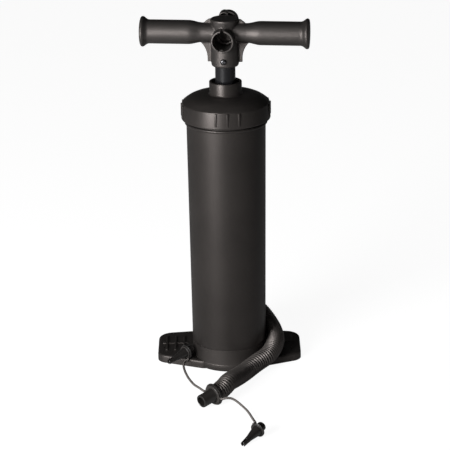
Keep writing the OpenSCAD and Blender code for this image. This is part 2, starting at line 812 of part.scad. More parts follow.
module handle_screw() {
  color(steel)
    turned()
      translate([0, -hub_r, handle_screw_z])
        rotate([90, 0, 0]) {
          translate([0, 0, -hub_r + rod_bore_r - 1])
            cylinder(h = hub_r - rod_bore_r + 2, r = handle_screw_r, $fn = small_fn);
          difference() {
            rotate_extrude() polygon([[0, 0], [4, 0], [4, 0.9], [3.2, 2], [1.6, 2.6], [0, 2.7]]);
            for (a = [0, 90])
              rotate(a) translate([-2, -0.45, 1.4]) cube([4, 0.9, 3]);
          }
        }
}

// Middle line of the bent outlet pipe, from a height in the boss to the end of its straight stub
function elbow_path(low, stub) = concat(
  [[outlet_x, outlet_y, low]],
  [for (a = [0 : 12 : elbow_tilt])
    [outlet_x + elbow_bend_r * (1 - cos(a)), outlet_y, elbow_bend_z + elbow_bend_r * sin(a)]],
  [stub_foot + stub * elbow_dir]
);

// Elbow that seats in the outlet boss and leans towards the pump's right side
module outlet_elbow() {
  color(black)
    difference() {
      union() {
        bar_along(elbow_path(boss_h - elbow_seat_h, stub_len), 2 * elbow_pipe_r, small_fn, [0, 1, 0]);
        translate([outlet_x, outlet_y, boss_h]) cylinder(h = elbow_flange_t, r = boss_r);
      }
      bar_along(
        elbow_path(boss_h - elbow_seat_h - 1, stub_len + 1), 2 * (elbow_pipe_r - elbow_wall), small_fn, [0, 1, 0]
      );
    }
}

// Ribbed cuff that clamps the hose on the elbow's stub
module hose_cuff() {
  color(black)
    translate(stub_foot)
      rotate([0, elbow_tilt, 0]) {
        ring(cuff_r, hose_d / 2 + 2 * seat, stub_len - cuff_on_stub, stub_len + cuff_on_hose);
        ring(cuff_r, elbow_pipe_r + seat, stub_len - cuff_on_stub - 2, stub_len - cuff_on_stub + eps);
        for (z = [-6, -1, 4])
          ring(cuff_r + 0.8, cuff_r - 1, stub_len + z, stub_len + z + cuff_rib_t);
      }
}

module hose() {
  color(black) bar_along(smooth_route(hose_route, hose_steps), hose_d, 12);
}

// Nozzle with its flange, and the neck that ends against the slanting end of the hose
module hose_connector() {
  nozzle_r = nozzle_d / 2;
  bore = adapter_back_r + seat;
  color(black)
    difference() {
      aim(nozzle_pos, nozzle_aim)
        rotate_extrude()
          polygon([
            [bore, -nozzle_bore_back], [bore - neck_bore_step, -nozzle_bore_back], [bore - neck_bore_step, -neck_len],
            [connector_neck_r, -neck_len], [connector_neck_r, -flange_t],
            [nozzle_flange_r - 0.5, -flange_t], [nozzle_flange_r, -flange_t + 0.5], [nozzle_flange_r, -0.5],
            [nozzle_flange_r - 0.5, 0], [nozzle_r + 0.4, 0], [nozzle_r + 0.4, 3], [nozzle_r, 3.2],
            [nozzle_r, nozzle_len - 1], [nozzle_r - 0.8, nozzle_len], [bore, nozzle_len]
          ]);
      aim(hose_end, hose_end_aim)
        translate([0, 0, seat - neck_len]) cylinder(h = neck_len, r = hose_d / 2 + 1);
    }
}

// Rubber ring round the nozzle with an ear for each tether
module tether_ring() {
  ear_r = nozzle_flange_r + 1.2;
  color(rubber_grey)
    aim(nozzle_pos, nozzle_aim)
      difference() {
        union() {
          translate([0, 0, air / 2]) cylinder(h = 2.6, r = nozzle_flange_r - 1.4);
          translate([-1.6, -ear_r, air / 2]) cube([3.2, 2 * ear_r, 2.6]);
        }
        cylinder(h = 10, r = nozzle_d / 2 + 0.4 + seat);
      }
}

module tether_left() {
  color(rubber_grey) bar_along(smooth_route(tether_left_route, tether_steps), tether_d, 8);
}

module tether_right() {
  color(rubber_grey) bar_along(smooth_route(tether_right_route, tether_steps), tether_d, 8);
}

// Loop that holds an adapter, with an ear that the tether ends on
module tether_loop(pos, heading_droop, low, inner, turn, reach) {
  thick = 2.2;
  color(rubber_grey)
    aim(pos, heading_droop)
      translate([0, 0, low])
        difference() {
          union() {
            cylinder(h = thick, r = inner + 1.6);
            rotate(turn) translate([0, -1.4, 0]) cube([reach, 2.8, thick]);
          }
          translate([0, 0, -1]) cylinder(h = thick + 2, r = inner);
        }
}

module tether_loop_left() {
  tether_loop(adapter_left_pos, adapter_left_aim, 1.2, 7, 30, 9.2);
}

module tether_loop_right() {
  tether_loop(adapter_front_pos, adapter_front_aim, -3.6, adapter_back_r + seat, -125, 9.2);
}

// Stepped adapter: a socket, a flange, a cone and a slotted tip
module adapter(pos, heading_droop) {
  flange_r = adapter_flange_d / 2;
  color(black)
    aim(pos, heading_droop)
      difference() {
        rotate_extrude()
          polygon([
            [0, -adapter_back], [adapter_back_r - 0.5, -adapter_back], [adapter_back_r, -adapter_back + 0.5],
            [adapter_back_r, -1], [flange_r, -1], [flange_r, 1], [6.8, 1], [6.6, 3.6], [4.6, 15], [3.6, 16],
            [3.3, 25], [2.65, adapter_tip], [0, adapter_tip]
          ]);
        translate([0, 0, -adapter_back - 1]) cylinder(h = 9, r = 4.4);
        translate([0, 0, -adapter_back]) cylinder(h = adapter_tip + adapter_back + 1, r = 1.5, $fn = small_fn);
        translate([-4, -0.7, adapter_tip - 7]) cube([8, 1.4, 8]);
      }
}

module adapter_left() {
  adapter(adapter_left_pos, adapter_left_aim);
}

module adapter_front() {
  adapter(adapter_front_pos, adapter_front_aim);
}

base();
valve_plate();
valve_plate_screws();
intake_cage();
intake_disc();
outlet_flap();
transfer_flap();
transfer_tube();
transfer_tube_seal();
base_seal();
barrel();
cap_gasket();
cap();
rod_bush();
rod_seal();
seal_retainer();
piston_rod();
piston();
piston_seal();
inner_seal();
piston_screws();
handle();
handle_screw();
outlet_elbow();
hose_cuff();
hose();
hose_connector();
tether_ring();
tether_left();
tether_right();
tether_loop_left();
tether_loop_right();
adapter_left();
adapter_front();
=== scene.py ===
# %% [markdown]
# # A double-action hand air pump
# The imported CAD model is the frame: it fixes where every piece is and how it moves. This lesson gives it
# its looks, with softened mouldings, a corrugated hose, twisted tethers and a procedural finish for each
# kind of plastic.

# %% Load the frame
import math

import bmesh
import bpy
from mathutils import Matrix, Vector


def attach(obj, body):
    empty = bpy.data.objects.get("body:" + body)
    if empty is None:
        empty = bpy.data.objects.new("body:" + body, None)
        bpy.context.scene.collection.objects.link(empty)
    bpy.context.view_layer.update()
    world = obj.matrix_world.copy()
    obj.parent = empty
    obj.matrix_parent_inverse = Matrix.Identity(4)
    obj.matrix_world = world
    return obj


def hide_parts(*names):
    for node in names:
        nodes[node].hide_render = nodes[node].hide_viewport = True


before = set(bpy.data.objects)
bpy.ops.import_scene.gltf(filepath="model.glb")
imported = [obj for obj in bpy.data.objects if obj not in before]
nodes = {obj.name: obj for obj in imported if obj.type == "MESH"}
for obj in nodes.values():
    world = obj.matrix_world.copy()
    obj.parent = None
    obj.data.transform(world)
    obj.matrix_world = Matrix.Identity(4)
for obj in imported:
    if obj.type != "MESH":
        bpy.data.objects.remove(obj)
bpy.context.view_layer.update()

# %% [markdown]
# The part's source is in millimetres and Blender is in metres, so sizes are written in millimetres here
# and multiplied by MM. They repeat the part's source. Only the front ring, its screw and the tethers
# differ from it, by up to 7 mm, because they were read once more from zoomed crops of the photograph.

# %% Sizes of the pump
MM = 0.001
FOOT_H, FOOT_WALL = 11.0, 2.4
BARREL_FOOT, SPIGOT_TOP = 31.0, 40.5
BUSH_Z, COLLAR_TOP = 380.0, 396.0
HUB_BOTTOM, HUB_TOP = 417.0, 480.0
GRIP_Z, SCREW_Z = 461.0, 426.0
RING_Z, RING_FRONT = 455.4, -29.0
RING_R, SOCKET_R = 15.0, 12.6
HANDLE_TURN = math.radians(-7)
HOSE_D, TETHER_D = 25.0, 3.3
OUTLET_X, OUTLET_Y = -30, 67


def mm(*values):
    """Point or step in millimetres, as a vector in metres."""
    return Vector([v * MM for v in values])


def along(heading, droop):
    """Direction of a heading and a droop, in degrees."""
    h, d = math.radians(heading), math.radians(droop)
    return Vector((math.cos(d) * math.cos(h), math.cos(d) * math.sin(h), -math.sin(d)))


def aimed(place, heading, droop):
    """Matrix that takes a piece made along +Z to its place and heading, in millimetres and degrees."""
    turn = Matrix.Rotation(math.radians(heading), 4, "Z")
    tip = Matrix.Rotation(math.radians(90 + droop), 4, "Y")
    return Matrix.Translation(mm(*place)) @ turn @ tip


print("height:", HUB_TOP, "mm")

# %% [markdown]
# ## Camera
# The photograph looks down on the pump by 20 degrees from about two and a half metres, through a long
# lens, and leans by less than a degree. The camera comes first, because the cords are measured against
# what it sees.

# %% Camera
PHOTO_PX, FOCAL_PX, SHIFT_PX = 450, 1935, -2.6
CAMERA_PLACE = (0, -2.45, 1.09)
CAMERA_DOWN, CAMERA_LEAN = 20.08, -0.86
SENSOR = 36

camera_data = bpy.data.cameras.new("camera")
camera = bpy.data.objects.new("camera", camera_data)
bpy.context.scene.collection.objects.link(camera)
bpy.context.scene.camera = camera
camera_data.sensor_width = SENSOR
camera_data.lens = SENSOR * FOCAL_PX / PHOTO_PX
camera_data.shift_x = SHIFT_PX / PHOTO_PX
camera_data.clip_start, camera_data.clip_end = 0.1, 50
look = Matrix.Rotation(math.radians(90 - CAMERA_DOWN), 4, "X")
lean = Matrix.Rotation(math.radians(CAMERA_LEAN), 4, "Z")
camera.matrix_world = Matrix.Translation(CAMERA_PLACE) @ look @ lean
print("lens:", round(camera_data.lens, 1), "mm")


# %% [markdown]
# ## Writing shader maths as Python
# A wrapped socket overloads the arithmetic operators, so `1 - mask` adds a Math node.

# %% Sockets
class Sock:
    """A node's output socket that can be used in Python expressions."""

    def __init__(self, tree, socket):
        self.tree, self.socket = tree, socket

    def _math(self, operation, a, b):
        return self.tree.node("ShaderNodeMath", {"operation": operation}, {0: a, 1: b})

    def __add__(self, other):
        return self._math("ADD", self, other)

    def __radd__(self, other):
        return self._math("ADD", other, self)

    def __sub__(self, other):
        return self._math("SUBTRACT", self, other)

    def __rsub__(self, other):
        return self._math("SUBTRACT", other, self)

    def __mul__(self, other):
        return self._math("MULTIPLY", self, other)

    def __rmul__(self, other):
        return self._math("MULTIPLY", other, self)


# %% [markdown]
# Every other node comes from one method, which takes its settings first and its inputs after them. The
# camera sees a whiter floor and room than a reflection does, so one method tells those rays apart.

# %% Node trees
class Nodes:
    """A node tree under construction, with one method that adds any node."""

    def __init__(self, owner, coordinates):
        owner.use_nodes = True
        self.owner, self.tree = owner, owner.node_tree
        self.tree.nodes.clear()
        self.place = self.node("ShaderNodeTexCoord", {}, {}, coordinates)

    def node(self, kind, settings=None, inputs=None, output=0):
        made = self.tree.nodes.new(kind)
        for key, value in (settings or {}).items():
            if key == "stops":
                ramp = made.color_ramp.elements
                while len(ramp) < len(value):
                    ramp.new(0.5)
                for stop, (position, colour) in zip(ramp, value):
                    stop.position, stop.color = position, colour
            else:
                setattr(made, key, value)
        for key, value in (inputs or {}).items():
            if isinstance(value, Sock):
                self.tree.links.new(value.socket, made.inputs[key])
            else:
                made.inputs[key].default_value = value
        return Sock(self, made.outputs[output])

    def seen(self, in_gloss=1.0):
        """1 for rays from the camera or through clear surfaces, a share for glossy ones, 0 for light."""
        camera, glossy, clear = [
            self.node("ShaderNodeLightPath", {}, {}, f"Is {kind} Ray")
            for kind in ("Camera", "Glossy", "Transmission")
        ]
        return self.node("ShaderNodeClamp", {}, {0: camera + clear + glossy * in_gloss})

    def shown(self, shader, kind="ShaderNodeOutputMaterial"):
        out = self.tree.nodes.new(kind)
        self.tree.links.new(shader.socket, out.inputs[0])
        return self.owner


# %% [markdown]
# A moulded surface is never quite even. A finish therefore mixes two near tones by a noise, and lets a much
# finer noise stand for the grain of the mould.

# %% Finish helpers
class Finish(Nodes):
    """A material with the textures that the pump's finishes share."""

    def __init__(self, name):
        super().__init__(bpy.data.materials.new(name), "Object")

    def noise(self, scale, detail=2.0, rough=0.5):
        inputs = {"Vector": self.place, "Scale": scale, "Detail": detail, "Roughness": rough}
        return self.node("ShaderNodeTexNoise", {}, inputs)

    def cells(self, scale):
        inputs = {"Vector": self.place, "Scale": scale, "Randomness": 1.0}
        return self.node("ShaderNodeTexVoronoi", {"feature": "DISTANCE_TO_EDGE"}, inputs)

    def mixed(self, share, first, second):
        settings = {"data_type": "RGBA"}
        return self.node("ShaderNodeMix", settings, {0: share, 6: first, 7: second}, 2)

    def ramp(self, value, low, high):
        stops = [(low, (0, 0, 0, 1)), (high, (1, 1, 1, 1))]
        return self.node("ShaderNodeValToRGB", {"stops": stops}, {0: value})

    def bump(self, height, depth):
        return self.node("ShaderNodeBump", {}, {"Height": height, "Distance": depth, "Strength": 1.0})

    def surface(self, **inputs):
        names = {
            "colour": "Base Color", "rough": "Roughness", "metal": "Metallic", "normal": "Normal",
            "gloss": "Specular IOR Level", "sheen": "Specular Tint",
        }
        shader = self.node("ShaderNodeBsdfPrincipled", {}, {names[k]: v for k, v in inputs.items()})
        return self.shown(shader)


def rgb(r, g, b):
    return (r, g, b, 1.0)


# %% [markdown]
# ## Finishes
# Satin charcoal: the barrel, cap and base come from one grey-black polypropylene. Spark-eroded steel
# moulds leave a very fine grain on it, which spreads the highlight. A slow noise shifts its tone and
# gloss a little, as handling does. The plastic's sheen is a little warm in the photograph.

# %% Charcoal moulding
WARM = rgb(1.0, 0.9, 0.86)


def charcoal(name, colour, rough, gloss, grain, depth):
    f = Finish(name)
    slow = f.noise(14, 3)
    fine = f.noise(grain, 2, 0.6)
    darker = rgb(*[c * 0.86 for c in colour])
    lighter = rgb(*[c * 1.14 for c in colour])
    tone = f.mixed(f.ramp(slow, 0.35, 0.65), darker, lighter)
    return f.surface(
        colour=tone, rough=rough - 0.03 + slow * 0.06, gloss=gloss, sheen=WARM, normal=f.bump(fine, depth)
    )


charcoal_barrel = charcoal("charcoal_barrel", (0.021, 0.0188, 0.0176), 0.38, 0.5, 1500, 0.00004)
charcoal_base = charcoal("charcoal_base", (0.022, 0.0197, 0.0184), 0.47, 0.7, 1500, 0.00004)
charcoal_cap = charcoal("charcoal_cap", (0.023, 0.0207, 0.0194), 0.38, 0.5, 1800, 0.00002)
print("mouldings:", [m.name for m in (charcoal_barrel, charcoal_base, charcoal_cap)])

# %% [markdown]
# The handle has a leather-like grain, so that it doesn't slip: small raised islands with fine valleys
# between them. The valleys are painted a darker colour than the islands, as painted shade in the grain.

# %% Handle moulding
def leather_grain():
    f = Finish("handle_moulding")
    valleys = f.ramp(f.cells(900), 0.0, 0.35)
    fine = f.noise(2600, 2)
    slow = f.noise(20, 3)
    # painted shade: the grain's valleys get the darker of the two colours
    tone = f.mixed(valleys, rgb(0.019, 0.0178, 0.017), rgb(0.031, 0.029, 0.0275))
    return f.surface(
        colour=tone, rough=0.43 - valleys * 0.06 + slow * 0.06, gloss=0.9, sheen=WARM,
        normal=f.bump(valleys + fine * 0.3, 0.00007),
    )


handle_grain = leather_grain()

# %% [markdown]
# The rod is polished by its seal on every stroke. Fine streaks run along it, so the noise is stretched
# along Z.

# %% Rod plastic
def rod_gloss():
    f = Finish("rod_plastic")
    stretched = f.node("ShaderNodeMapping", {}, {"Vector": f.place, "Scale": (1.0, 1.0, 0.03)})
    streaks = f.node("ShaderNodeTexNoise", {}, {"Vector": stretched, "Scale": 900.0, "Detail": 2.0})
    wear = f.ramp(streaks, 0.45, 0.7)
    return f.surface(
        colour=f.mixed(wear, rgb(0.011, 0.011, 0.012), rgb(0.016, 0.016, 0.018)),
        rough=0.13 + wear * 0.07, gloss=0.35, normal=f.bump(streaks, 0.00001),
    )


rod_polish = rod_gloss()

# %% [markdown]
# The hose is a ribbed tube. Light catches the rounded crests. The narrow valleys between them are rougher,
# and their colour is painted near black as painted shade. Each point of the hose carries a number for its
# depth, which the finish reads.

# %% Hose finish
def ribbed_black():
    f = Finish("hose_plastic")
    valley = f.node("ShaderNodeAttribute", {"attribute_name": "valley"}, {}, "Fac")
    # painted shade: the deeper a point lies in a valley, the darker its colour is painted
    shade = f.ramp(valley, 0.6, 1.0)
    slow = f.noise(60, 2)
    return f.surface(
        colour=f.mixed(shade, rgb(0.055, 0.05, 0.047), rgb(0.002, 0.002, 0.002)),
        rough=0.36 + shade * 0.5 + slow * 0.05, gloss=0.8, sheen=WARM,
        normal=f.bump(f.noise(1600, 2), 0.00002),
    )


hose_black = ribbed_black()

# %% [markdown]
# The small fittings are a shinier black, the cords a grey rubber, and the parts inside a plain natural
# plastic.

# %% Small mouldings, rubber and metal
def plain(name, colour, rough, gloss, grain=1600, depth=0.00002, metal=0.0, spread=0.12):
    f = Finish(name)
    slow = f.noise(60, 2)
    fine = f.noise(grain, 2)
    darker = rgb(*[c * (1 - spread) for c in colour])
    lighter = rgb(*[c * (1 + spread) for c in colour])
    return f.surface(
        colour=f.mixed(slow, darker, lighter), rough=rough - 0.04 + slow * 0.08, gloss=gloss, metal=metal,
        normal=f.bump(fine, depth),
    )


fitting_black = plain("fitting_plastic", (0.019, 0.0172, 0.0163), 0.32, 0.6)
ring_rubber = plain("tether_rubber", (0.04, 0.036, 0.034), 0.45, 0.4, 1200, 0.00004)
cord_grey = plain("tether_cord", (0.165, 0.149, 0.141), 0.6, 0.25, 2400, 0.00005, spread=0.25)
seal_rubber = plain("seal_rubber", (0.02, 0.02, 0.02), 0.6, 0.3)
inner_plastic = plain("inner_plastic", (0.62, 0.61, 0.58), 0.42, 0.4, 1500, 0.00003, spread=0.03)
screw_dark = plain("dark_steel", (0.09, 0.09, 0.095), 0.24, 0.5, 2500, 0.00001, metal=0.9)
screw_zinc = plain("zinc_steel", (0.55, 0.56, 0.58), 0.3, 0.5, 2500, 0.00001, metal=1.0)
print("finishes:", len(bpy.data.materials))


# %% [markdown]
# ## Tools for modelling
# Each tool below is one step of modelling by hand. Everything is deselected first, because the frame
# arrives selected.

# %% Select, edit and apply
def deselect():
    """Leaves edit mode, and selects nothing."""
    if bpy.context.object and bpy.context.object.mode != "OBJECT":
        bpy.ops.object.mode_set(mode="OBJECT")
    bpy.ops.object.select_all(action="DESELECT")


def activate(piece):
    deselect()
    piece.select_set(True)
    bpy.context.view_layer.objects.active = piece


def edit_all(piece):
    """Enters edit mode with the whole mesh selected."""
    activate(piece)
    bpy.ops.object.mode_set(mode="EDIT")
    bpy.ops.mesh.select_all(action="SELECT")


def leave_outwards():
    """Turns every face of the edited piece outwards and leaves edit mode."""
    bpy.ops.mesh.select_all(action="SELECT")
    bpy.ops.mesh.normals_make_consistent(inside=False)
    bpy.ops.object.mode_set(mode="OBJECT")


def apply_modifier(piece, kind, **settings):
    activate(piece)
    modifier = piece.modifiers.new(kind.lower(), kind)
    for key, value in settings.items():
        setattr(modifier, key, value)
    bpy.ops.object.modifier_apply(modifier=modifier.name)
    return piece


def baked(piece):
    """Puts the object's place and size into its mesh."""
    activate(piece)
    bpy.ops.object.transform_apply(location=True, rotation=True, scale=True)
    return piece


def moved(piece, matrix):
    piece.matrix_world = matrix @ piece.matrix_world
    return baked(piece)


# %% [markdown]
# A turned piece is made as on a lathe: one vertex is extruded from corner to corner of its outline, and
# the outline is spun round the axis. A lug or a tooth is spun by less than a whole turn, and its two open
# ends are then closed.

# %% Lathe
def drawn(name, corners):
    """New piece in edit mode: one vertex, extruded from corner to corner, in millimetres."""
    deselect()
    bpy.ops.mesh.primitive_plane_add(size=MM)
    piece = bpy.context.object
    piece.name = name
    edit_all(piece)
    bpy.ops.mesh.merge(type="CENTER")
    bpy.ops.transform.translate(value=mm(*corners[0]))
    for here, there in zip(corners, corners[1:]):
        step = mm(*[b - a for a, b in zip(here, there)])
        bpy.ops.mesh.extrude_vertices_move(TRANSFORM_OT_translate={"value": step})
    return piece


def spun(name, outline, steps=96, closed=True, angle=360.0):
    """Spins an outline of (radius, height) points round +Z. An open one has both ends on the axis."""
    piece = drawn(name, [(r, 0, z) for r, z in outline])
    if closed:
        bpy.ops.mesh.select_all(action="DESELECT")
        mesh = bmesh.from_edit_mesh(piece.data)
        for v in mesh.verts:
            v.select = len(v.link_edges) == 1
        mesh.select_flush_mode()
        bpy.ops.mesh.edge_face_add()
    bpy.ops.mesh.select_all(action="SELECT")
    bpy.ops.mesh.spin(steps=steps, angle=math.radians(angle), center=(0, 0, 0), axis=(0, 0, 1))
    bpy.ops.mesh.select_all(action="SELECT")
    bpy.ops.mesh.remove_doubles(threshold=1e-6)
    if angle < 360:
        bpy.ops.mesh.select_all(action="DESELECT")
        bpy.ops.mesh.select_non_manifold()
        bpy.ops.mesh.edge_face_add()
    leave_outwards()
    return piece


# %% [markdown]
# Ribs and posts start as a box or a cylinder between two heights. Edges are rounded by a bevel, and
# pieces of one moulding are joined or cut by booleans.

# %% Blocks, edges and joins
def block(name, low, high):
    """Box between two corners, in millimetres."""
    low, high = Vector(low), Vector(high)
    deselect()
    bpy.ops.mesh.primitive_cube_add(size=1, location=(low + high) / 2 * MM)
    piece = bpy.context.object
    piece.name = name
    piece.scale = (high - low) * MM
    return baked(piece)


def cylinder(name, radius, low, high, sides=64):
    """Upright cylinder on the axis, between two heights."""
    deselect()
    bpy.ops.mesh.primitive_cylinder_add(
        vertices=sides, radius=radius * MM, depth=(high - low) * MM, location=mm(0, 0, (low + high) / 2)
    )
    piece = bpy.context.object
    piece.name = name
    return baked(piece)


def soften(piece, width, segments=2, angle=35.0):
    """Rounds every edge that turns by more than an angle."""
    apply_modifier(
        piece, "BEVEL", width=width * MM, segments=segments, limit_method="ANGLE",
        angle_limit=math.radians(angle), use_clamp_overlap=True,
    )
    return piece


def combine(piece, others, operation="UNION"):
    """Adds or cuts the others one by one, and removes them."""
    for other in others:
        apply_modifier(piece, "BOOLEAN", object=other, operation=operation, solver="EXACT")
        bpy.data.objects.remove(other)
    return piece


def smooth(piece, angle):
    """Smooth shading, with a hard edge where the surface turns by more than an angle."""
    activate(piece)
    bpy.ops.object.shade_smooth_by_angle(angle=math.radians(angle))
    return piece


def finish_piece(piece, body, material, slot, *replaced):
    """Gives a finished piece its material and its body, and hides the CAD nodes that it stands for."""
    piece.data.materials.clear()
    piece.data.materials.append(material)
    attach(piece, body)
    if replaced:
        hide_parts(*replaced)
    print(f"{piece.name}: {len(piece.data.polygons)} faces")
    return piece


# %% [markdown]
# ## Cords
# Each cord follows the points that the part's source holds. Only near the nozzle, the hose's end and the
# front tether were read once more from the photograph and differ by a few millimetres. A smooth curve runs
# through the points, and rings are set along it at an even spacing, square to its direction.

# %% Routes
def smooth_route(points, steps):
    """Catmull-Rom curve through the points."""
    last = len(points) - 1
    route = []
    for i in range(last):
        p0, p1, p2, p3 = points[max(i - 1, 0)], points[i], points[i + 1], points[min(i + 2, last)]
        for k in range(steps):
            t = k / steps
            route.append(
                0.5 * (2 * p1 + (p2 - p0) * t + (2 * p0 - 5 * p1 + 4 * p2 - p3) * t * t
                       + (3 * p1 - p0 - 3 * p2 + p3) * t ** 3)
            )
    return route + [points[last]]


def evenly(route, spacing):
    """Points along a route at about an even spacing, ends included."""
    lengths = [0.0]
    for a, b in zip(route, route[1:]):
        lengths.append(lengths[-1] + (b - a).length)
    count = max(2, round(lengths[-1] / spacing))
    points, j = [], 0
    for i in range(count + 1):
        s = lengths[-1] * i / count
        while j < len(route) - 2 and lengths[j + 1] < s:
            j += 1
        t = (s - lengths[j]) / (lengths[j + 1] - lengths[j])
        points.append(route[j].lerp(route[j + 1], min(max(t, 0), 1)))
    return points, lengths[-1]


# %% [markdown]
# The tube starts as rings of points with faces between them. Each ring's first direction is carried over
# from the ring before it, so that the tube doesn't twist.

# %% Tube
def tube(name, path, sides, radius_at):
    """Closed tube round a path. radius_at gives the radius from the ring's number and the angle."""
    last = len(path) - 1
    points, faces = [], []
    side = None
    for i, p in enumerate(path):
        heading = (path[min(i + 1, last)] - path[max(i - 1, 0)]).normalized()
        if side is None:
            side = heading.cross(Vector((0, 0, 1))).normalized()
        side = (side - heading * side.dot(heading)).normalized()
        up = side.cross(heading)
        for k in range(sides):
            a = 2 * math.pi * k / sides
            points.append(p + radius_at(i, a) * (math.cos(a) * side + math.sin(a) * up))
    for i in range(last):
        for k in range(sides):
            n = (k + 1) % sides
            faces.append((i * sides + k, (i + 1) * sides + k, (i + 1) * sides + n, i * sides + n))
    faces.append(tuple(range(sides)))
    faces.append(tuple(last * sides + k for k in reversed(range(sides))))
    mesh = bpy.data.meshes.new(name)
    mesh.from_pydata(points, [], faces)
    piece = bpy.data.objects.new(name, mesh)
    bpy.context.scene.collection.objects.link(piece)
    edit_all(piece)
    leave_outwards()
    return piece


# %% [markdown]
# The hose starts on the stub of the elbow, which leans to the right behind the barrel, and ends in the
# nozzle's flange on the floor in front.

# %% Where the hose starts and ends
NOZZLE_PLACE, NOZZLE_AIM = (-21.7, -153.6, 15.2), (222, 8)
nozzle_dir = along(*NOZZLE_AIM)
hose_end = mm(*NOZZLE_PLACE) - 2.6 * MM * nozzle_dir
ELBOW_TILT, ELBOW_BEND, ELBOW_FOOT, ELBOW_STUB = math.radians(75), 14, 32, 14.1
elbow_dir = Vector((math.sin(ELBOW_TILT), 0, math.cos(ELBOW_TILT)))
stub_foot = mm(OUTLET_X + ELBOW_BEND * (1 - elbow_dir.z), OUTLET_Y, ELBOW_FOOT + ELBOW_BEND * elbow_dir.x)
hose_start = stub_foot + ELBOW_STUB * MM * elbow_dir
print("hose runs from", [round(v, 3) for v in hose_start], "to", [round(v, 3) for v in hose_end])

# %% [markdown]
# The hose is blown polyethylene with a rib every 3.4 mm, which is what lets it bend. Where it hangs free
# it is pulled by its own weight, so its ribs stand wider apart. The crests keep the CAD tube's radius,
# and the grooves are deep.

# %% Hose
hose_points = (
    [hose_start + s * MM * elbow_dir for s in (0, 5, 10, 16)]
    + [mm(*p) for p in (
        (18, 66, 54.5), (27, 62.5, 54), (37, 55.5, 51.3), (46, 46, 46.5), (55.5, 33, 37.5),
        (61.5, 17, 31), (63.5, -3, 26.5), (60, -23, 24.2), (51.5, -40, 19.5), (39, -53, 16.2),
        (30, -64, 14.3), (21, -78, 13.3), (13, -94, 14.9), (6, -109, 17.3), (1.3, -119, 19.2),
        (-3, -128, 20), (-8, -138.5, 18.7),
    )]
    + [hose_end - s * MM * nozzle_dir for s in (7, 3.5, 0)]
)
GROOVE, RIB_PITCH, RIB_PULL = 2.1, 3.4, 2.0
PULLED_AT, PULLED_REACH = 222, 62
RING_STEP, SIDES = 0.42, 44
hose_path, hose_length = evenly(smooth_route(hose_points, 12), RING_STEP * MM)


def rib_wave():
    """0 on a crest and 1 in a valley, ring by ring along the hose."""
    wave, turns = [], 0.0
    for i in range(len(hose_path)):
        pulled = max(0.0, 1 - ((i * RING_STEP - PULLED_AT) / PULLED_REACH) ** 2)
        wave.append(0.5 - 0.5 * math.cos(2 * math.pi * turns))
        turns += RING_STEP / (RIB_PITCH + RIB_PULL * pulled)
    return wave


def hose_radius(ring, angle):
    return (HOSE_D / 2 - GROOVE * valleys[ring]) * MM


valleys = rib_wave()
hose = tube("hose_corrugated", hose_path, SIDES, hose_radius)
depths = hose.data.attributes.new("valley", "FLOAT", "POINT")
for i, point in enumerate(depths.data):
    point.value = valleys[i // SIDES]
smooth(hose, 80)
finish_piece(hose, "pump_body", hose_black, "hose_plastic", "hose")
print("hose length:", round(hose_length, 4), "m")

# %% [markdown]
# The tethers are thin twisted cords. Three strands show as three lobes in the section, which turn once
# every 8 mm.

# %% Tethers
LAY_LENGTH, STRAND = 8.0, 0.5


def tether(name, points, node):
    """Twisted cord through points in millimetres, with its path and its length."""
    spacing = 0.6 * MM
    path, length = evenly(smooth_route([mm(*p) for p in points], 12), spacing)

    def radius(ring, angle):
        turn = 2 * math.pi * ring * spacing / (LAY_LENGTH * MM)
        lobe = abs(math.cos(1.5 * (angle + turn)))
        return (TETHER_D / 2 - STRAND + STRAND * lobe) * MM

    piece = tube(name, path, 24, radius)
    smooth(piece, 70)
    finish_piece(piece, "pump_body", cord_grey, "tether_rubber", node)
    print(name, "length:", round(length, 4), "m")
    return piece, path, length


tether_left, left_path, left_length = tether(
    "tether_left_twisted",
    [(-33.7, -142.3, 15), (-35.5, -140, 15), (-41, -131, 15), (-48.4, -117, 14), (-56.5, -86, 10.5),
     (-61.7, -57, 9), (-62.3, -42, 9.8), (-60, -34.8, 10.2), (-57.2, -31.6, 11.4), (-56.4, -31, 12.4)],
    "tether_left",
)
tether_right, right_path, right_length = tether(
    "tether_right_twisted",
    [(-11.8, -166.8, 15), (-9.2, -168.4, 15.8), (-4, -168, 16.6), (3, -166, 14.5), (11, -169, 10),
     (22, -184, 5.5), (29, -207, 4.5), (31.5, -224, 8), (30, -236, 12.5), (28.7, -242, 15)],
    "tether_right",
)

# %% [markdown]
# ## Nozzle, tether ring and adapters
# These are small turned pieces. Each is spun upright from its outline, and then moved to its place and
# heading.

# %% Nozzle and its flange
connector = spun("connector_turned", [
    (6.1, 21.7), (6.4, 22), (7.7, 22), (8.4, 21.6), (8.7, 20.8), (8.7, 4.2), (9.1, 3.4), (9.1, 0.2),
    (14.2, 0.2), (14.8, 0), (15, -0.5), (15, -1.9), (14.6, -2.4), (10, -2.4), (9, -3), (9, -9.2), (5, -9.2),
    (5, -7), (6.1, -6.8),
], 96)
moved(connector, aimed(NOZZLE_PLACE, *NOZZLE_AIM))
smooth(connector, 30)
finish_piece(connector, "pump_body", fitting_black, "nozzle_plastic", "hose_connector")

# %% [markdown]
# The tether ring is a flat rubber band in front of the nozzle's flange. It is stretched over the nozzle, and
# its two ears hold the ends of the tethers.

